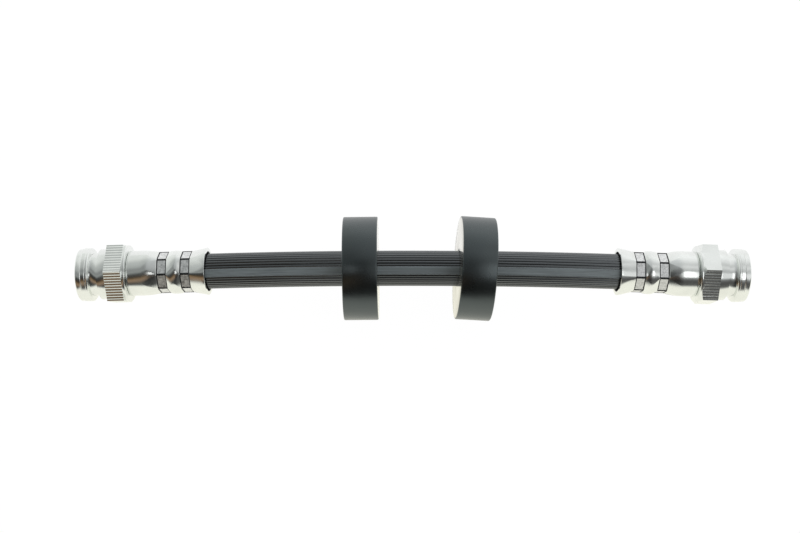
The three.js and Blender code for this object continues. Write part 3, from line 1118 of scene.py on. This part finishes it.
def build_hose():
    """Ribbed rubber hose with its bore, bent along its route and declared as a cord."""
    s = bpy.context.scene.hose_sizes
    guide, spline = hose_route_curve()
    bpy.context.view_layer.update()
    run = spline.calc_length()
    turned = Matrix.Rotation(s.strip_turn, 3, "X")
    outside = [turned @ Vector((0.0, y, z)) for y, z in rib_outline(s)]
    bore = []
    for i in range(BORE_STEPS):
        a = math.tau * i / BORE_STEPS
        bore.append(Vector((0.0, s.bore / 2 * math.sin(a), s.bore / 2 * math.cos(a))))
    piece = draw_line("ribbed_hose", outside)
    bpy.ops.mesh.select_all(action="DESELECT")
    bpy.ops.object.mode_set(mode="OBJECT")
    inner = draw_line("hose_bore", bore)
    bpy.ops.object.mode_set(mode="OBJECT")
    pick(piece)
    inner.select_set(True)
    bpy.ops.object.join()
    bpy.ops.object.mode_set(mode="EDIT")
    bpy.ops.mesh.select_all(action="SELECT")
    bpy.ops.mesh.fill()
    for _ in range(s.steps):
        bpy.ops.mesh.extrude_region_move(TRANSFORM_OT_translate={"value": (run / s.steps, 0, 0)})
    close_up()
    bpy.ops.object.mode_set(mode="OBJECT")
    for low, high in ((-MM, s.spread_length), (run - s.spread_length, run + MM)):
        def in_spread_bore(vertex):
            return low < vertex.co.x < high and vertex.co.yz.length < s.bore / 2 * 1.01

        select(piece, "vertices", in_spread_bore)
        grow = s.spread_bore / s.bore
        bpy.ops.transform.resize(value=(1.0, grow, grow), center_override=(0, 0, 0))
        bpy.ops.object.mode_set(mode="OBJECT")
    apply_modifier(piece, "CURVE", object=guide, deform_axis="POS_X")
    bpy.data.objects.remove(guide)
    piece.data.materials.append(hose_rubber_finish())
    piece.data.materials.append(strip_reflection_finish())
    piece.data.materials.append(mouth_shade_finish())
    paint_strip(piece, s)
    smooth(piece, 50.0)
    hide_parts("hose")
    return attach(piece, BODY)


def paint_strip(piece, s):
    """Gives the plain strip along the hose its own finish."""
    facing = Vector((-math.sin(s.strip_turn), math.cos(s.strip_turn)))
    across = Vector((math.cos(s.strip_turn), math.sin(s.strip_turn)))
    insides = [end_frame(side).inverted() for side in ENDS]
    for polygon in piece.data.polygons:
        centre = polygon.center
        from_axis = Vector((centre.y, centre.z - route_height(centre.x)))
        on_strip = abs(from_axis.dot(across)) < s.strip_width / 2
        if on_strip and from_axis.dot(facing) > 0.9 * s.diameter / 2:
            polygon.material_index = 1
        # Painted shade: the hose from just before each ferrule's mouth inwards gets the matt black
        # finish.
        if any((into @ centre).x > -s.mouth_shade_length for into in insides):
            polygon.material_index = 2


def route_height(x):
    """Height of the hose's centre line at a place along it."""
    for (x0, z0), (x1, z1) in zip(HOSE_ROUTE, HOSE_ROUTE[1:]):
        if x <= x1:
            break
    return z0 + (z1 - z0) * (x - x0) / (x1 - x0)


# Stage

WHITE = (1.0, 1.0, 1.0, 1.0)
CREAM = (1.0, 0.99, 0.89, 1.0)

# Brightness of the floor that is seen, and the share of it that keeps no shadow.
FLOOR_STRENGTH = 1.04
FLOOR_SHARE = 0.95


def add_camera():
    """Camera at the photograph's angle."""
    s = bpy.context.scene.hose_stage_sizes
    clear_selection()
    tilt = math.pi / 2 - s.elevation
    aim = Vector((s.aim_x, s.aim_y, s.aim_z))
    back = Vector((0.0, -math.sin(tilt), math.cos(tilt)))
    look = Matrix.Rotation(tilt, 4, "X") @ Matrix.Rotation(-s.roll, 4, "Z")
    bpy.ops.object.camera_add(location=aim + back * s.distance, rotation=look.to_euler())
    camera = bpy.context.object
    camera.name = "photo_camera"
    camera.data.lens = s.lens
    camera.data.clip_start = 0.01
    bpy.context.scene.camera = camera


def add_floor():
    """Pale floor that shows white and keeps a faint shadow."""
    s = bpy.context.scene.hose_stage_sizes
    clear_selection()
    bpy.ops.mesh.primitive_plane_add(size=s.floor_size)
    floor = bpy.context.object
    floor.name = "pale_floor"
    bpy.ops.object.mode_set(mode="EDIT")
    bpy.ops.mesh.select_all(action="SELECT")
    bpy.ops.mesh.subdivide(number_cuts=3)
    bpy.ops.object.mode_set(mode="OBJECT")
    finish = Finish("pale_floor", tuple(bpy.context.scene.hose_finishes.floor), 0.0, 0.9)
    finish.shader.inputs["Specular IOR Level"].default_value = 0.0
    path = finish.nodes.new("ShaderNodeLightPath").outputs
    in_front = finish.compute("LESS_THAN", finish.split(finish.place)["Y"], 0.0)
    warm = finish.compute("MULTIPLY", path["Is Glossy Ray"], in_front)
    pale = finish.nodes.new("ShaderNodeEmission")
    pale.inputs["Strength"].default_value = FLOOR_STRENGTH
    finish.links.new(finish.mix(warm, WHITE, CREAM), pale.inputs["Color"])
    seen = finish.compute("MAXIMUM", path["Is Camera Ray"], path["Is Glossy Ray"])
    clear = finish.compute("MAXIMUM", seen, path["Is Transmission Ray"])
    part = finish.compute("MULTIPLY", clear, FLOOR_SHARE)
    finish.mix_shaders(part, finish.shader, pale, "Material Output")
    floor.data.materials.append(finish.material)


# Brightness and colour of the room by the angle from straight up towards the front, in
# degrees, as the left end, the middle and the right end of the hose see it.
ROOM_LEFT = [
    (-90, (0.93, 0.95, 0.93)),
    (-62, (0.84, 0.86, 0.84)),
    (-53, (0.78, 0.8, 0.78)),
    (-44, (0.65, 0.67, 0.65)),
    (-36, (0.54, 0.56, 0.55)),
    (-28, (0.5, 0.52, 0.51)),
    (-16, (0.45, 0.47, 0.46)),
    (-10, (0.41, 0.43, 0.42)),
    (0, (0.265, 0.275, 0.275)),
    (5, (0.245, 0.255, 0.255)),
    (15, (0.31, 0.325, 0.32)),
    (20, (0.255, 0.265, 0.26)),
    (24, (0.13, 0.138, 0.135)),
    (28, (0.06, 0.063, 0.062)),
    (35, (0.045, 0.045, 0.043)),
    (42, (0.05, 0.043, 0.035)),
    (47, (0.08, 0.052, 0.03)),
    (51, (0.16, 0.107, 0.058)),
    (56, (0.26, 0.175, 0.105)),
    (62, (0.3, 0.206, 0.134)),
    (67, (0.26, 0.19, 0.138)),
    (73, (0.15, 0.112, 0.083)),
    (79, (0.1, 0.09, 0.078)),
    (85, (0.05, 0.055, 0.053)),
]
ROOM_MIDDLE = [
    (-90, (0.99, 1, 1)),
    (-74, (0.99, 1, 1)),
    (-48, (0.669, 0.69, 0.697)),
    (-25, (0.543, 0.56, 0.565)),
    (-11, (0.436, 0.45, 0.455)),
    (-4, (0.32, 0.33, 0.334)),
    (2, (0.194, 0.2, 0.202)),
    (9, (0.116, 0.12, 0.121)),
    (16, (0.136, 0.14, 0.142)),
    (22, (0.107, 0.11, 0.111)),
    (29, (0.08, 0.08, 0.078)),
    (36, (0.055, 0.048, 0.042)),
    (43, (0.045, 0.038, 0.032)),
    (57, (0.02, 0.02, 0.02)),
    (71, (0.05, 0.05, 0.048)),
    (79, (0.04, 0.042, 0.04)),
]
ROOM_RIGHT = [
    (-90, (1.04, 1.05, 1.05)),
    (-78, (1.04, 1.05, 1.05)),
    (-64, (0.96, 0.97, 0.97)),
    (-57, (0.91, 0.92, 0.92)),
    (-45, (0.81, 0.82, 0.82)),
    (-39, (0.72, 0.73, 0.73)),
    (-33, (0.67, 0.68, 0.68)),
    (-28, (0.67, 0.68, 0.68)),
    (-22, (0.78, 0.79, 0.79)),
    (-17, (0.79, 0.8, 0.8)),
    (-12, (0.72, 0.73, 0.73)),
    (-6, (0.63, 0.64, 0.64)),
    (-1, (0.54, 0.55, 0.55)),
    (4, (0.54, 0.55, 0.55)),
    (9, (0.66, 0.67, 0.67)),
    (14, (0.85, 0.86, 0.86)),
    (34, (0.85, 0.86, 0.86)),
    (39, (0.47, 0.48, 0.48)),
    (45, (0.215, 0.22, 0.22)),
    (50, (0.148, 0.15, 0.15)),
    (55, (0.11, 0.11, 0.108)),
    (60, (0.09, 0.09, 0.088)),
    (66, (0.093, 0.093, 0.09)),
    (77, (0.12, 0.12, 0.115)),
]

# How far to the side, from -1 to 1, one part of the room turns into the next.
LEFT_TO_MIDDLE = (-0.16, -0.02)
MIDDLE_TO_RIGHT = (0.1, 0.3)

# The left part slants: its bands lie higher towards the middle, by so many radians for each
# unit to the side of its centre, which is where it lies as given.
LEFT_CENTRE = -0.42
LEFT_SLANT = 1.1
SLANT_REACH = 0.25

# Glow of the floor's far edge in front, by the same angle.
GLOW_ANGLES = (78, 92)
GLOW = (0.78, 0.78, 0.72, 1.0)


def add_room():
    """The studio round the object, as its polished metal shows it, and white to the camera."""
    world = bpy.data.worlds.new("studio")
    bpy.context.scene.world = world
    world.use_nodes = True
    room = Wiring(world.node_tree)
    axes = room.split(room.nodes.new("ShaderNodeTexCoord").outputs["Generated"])
    toward_side = axes["X"]
    toward_front = room.compute("ARCTAN2", room.compute("MULTIPLY", axes["Y"], -1.0), axes["Z"])
    slant_reach = (LEFT_CENTRE - SLANT_REACH, 0.0)
    slant_ends = (-SLANT_REACH * LEFT_SLANT, -LEFT_CENTRE * LEFT_SLANT)
    slant = room.spread(toward_side, *slant_ends, slant_reach)

    def seen_by(stops, angle_seen):
        share = room.spread(angle_seen, 0.0, 1.0, (-math.pi / 2, math.pi / 2))
        return room.ramp(share, [((degrees + 90) / 180, tone) for degrees, tone in stops])

    def blend(first, second, value, reach):
        return room.mix(room.spread(value, 0.0, 1.0, reach, "SMOOTHSTEP"), first, second)

    left = seen_by(ROOM_LEFT, room.compute("ADD", toward_front, slant))
    middle, right = seen_by(ROOM_MIDDLE, toward_front), seen_by(ROOM_RIGHT, toward_front)
    left_half = blend(left, middle, toward_side, LEFT_TO_MIDDLE)
    whole = blend(left_half, right, toward_side, MIDDLE_TO_RIGHT)
    seen = blend(whole, GLOW, toward_front, [math.radians(a) for a in GLOW_ANGLES])
    background = room.nodes["Background"]
    room.links.new(seen, background.inputs["Color"])
    white = room.nodes.new("ShaderNodeBackground")
    white.inputs["Color"].default_value = WHITE
    path = room.nodes.new("ShaderNodeLightPath").outputs
    room.mix_shaders(path["Is Camera Ray"], background, white, "World Output")


def add_lamp(name, place_at, look, width, height, radiance):
    """Rectangular lamp whose face has this brightness."""
    clear_selection()
    bpy.ops.object.light_add(type="AREA", location=place_at, rotation=look.to_euler())
    lamp = bpy.context.object
    lamp.name = name
    lamp.data.shape = "RECTANGLE"
    lamp.data.size = width
    lamp.data.size_y = height
    lamp.data.energy = radiance * math.pi * width * height


def add_lamps():
    """Soft lamp above and in front of the hose, and a small one over its left end."""
    s = bpy.context.scene.hose_stage_sizes
    look = Matrix.Rotation(s.lamp_tilt, 4, "X") @ Matrix.Rotation(s.lamp_swing, 4, "Y")
    place_at = look @ Vector((0.0, 0.0, s.lamp_distance))
    add_lamp("softbox", place_at, look, s.lamp_width, s.lamp_height, s.lamp_radiance)
    look = Matrix.Rotation(s.spot_tilt, 4, "X")
    place_at = Vector((s.spot_x, 0.0, 0.0)) + look @ Vector((0.0, 0.0, s.spot_distance))
    add_lamp("small_softbox", place_at, look, s.spot_width, s.spot_height, s.spot_radiance)


# Operators


class HOSE_OT_camera(bpy.types.Operator):
    """Add the camera"""

    bl_idname = "brake_hose.add_camera"
    bl_label = "Add camera"

    def execute(self, context):
        add_camera()
        return {"FINISHED"}


class HOSE_OT_hose(bpy.types.Operator):
    """Build the ribbed rubber hose"""

    bl_idname = "brake_hose.build_hose"
    bl_label = "Build hose"

    def execute(self, context):
        build_hose()
        return {"FINISHED"}


class HOSE_OT_fittings(bpy.types.Operator):
    """Build both turned end fittings"""

    bl_idname = "brake_hose.build_fittings"
    bl_label = "Build end fittings"

    def execute(self, context):
        for side in ENDS:
            build_fitting(side)
        return {"FINISHED"}


class HOSE_OT_ferrules(bpy.types.Operator):
    """Build both crimped ferrules"""

    bl_idname = "brake_hose.build_ferrules"
    bl_label = "Build ferrules"

    def execute(self, context):
        for side in ENDS:
            build_ferrule(side)
        return {"FINISHED"}


class HOSE_OT_rings(bpy.types.Operator):
    """Build both rubber rings"""

    bl_idname = "brake_hose.build_rings"
    bl_label = "Build rubber rings"

    def execute(self, context):
        for side in RING_LEAN:
            build_ring(side)
        return {"FINISHED"}


class HOSE_OT_stage(bpy.types.Operator):
    """Add the floor, the room and the lamps"""

    bl_idname = "brake_hose.add_stage"
    bl_label = "Add stage"

    def execute(self, context):
        add_floor()
        add_room()
        add_lamps()
        context.scene.view_settings.view_transform = "Standard"
        return {"FINISHED"}


class HOSE_PT_panel(bpy.types.Panel):
    """Lists the steps of the brake hose in the sidebar"""

    bl_idname = "HOSE_PT_panel"
    bl_label = "Brake hose"
    bl_space_type = "VIEW_3D"
    bl_region_type = "UI"
    bl_category = "Brake hose"

    def draw(self, context):
        for step in STEPS:
            self.layout.operator(step.bl_idname)
        for name, group in SETTINGS.items():
            column = self.layout.column(heading=group.__doc__)
            settings = getattr(context.scene, name)
            for key in group.__annotations__:
                column.prop(settings, key)


STEPS = (
    HOSE_OT_camera,
    HOSE_OT_hose,
    HOSE_OT_fittings,
    HOSE_OT_ferrules,
    HOSE_OT_rings,
    HOSE_OT_stage,
)
CLASSES = (*SETTINGS.values(), *STEPS, HOSE_PT_panel)


def register():
    """Registers the settings, steps and panel."""
    for each in CLASSES:
        bpy.utils.register_class(each)
    for name, group in SETTINGS.items():
        setattr(bpy.types.Scene, name, bpy.props.PointerProperty(type=group))


def unregister():
    """Removes them again."""
    for name in SETTINGS:
        delattr(bpy.types.Scene, name)
    for each in reversed(CLASSES):
        bpy.utils.unregister_class(each)


def main():
    """Builds the brake hose and its stage, and writes both boxes."""
    register()
    bpy.ops.brake_hose.add_camera()
    bpy.ops.brake_hose.build_hose()
    bpy.ops.brake_hose.build_fittings()
    bpy.ops.brake_hose.build_ferrules()
    bpy.ops.brake_hose.build_rings()
    bpy.ops.brake_hose.add_stage()


if __name__ == "__main__":
    main()
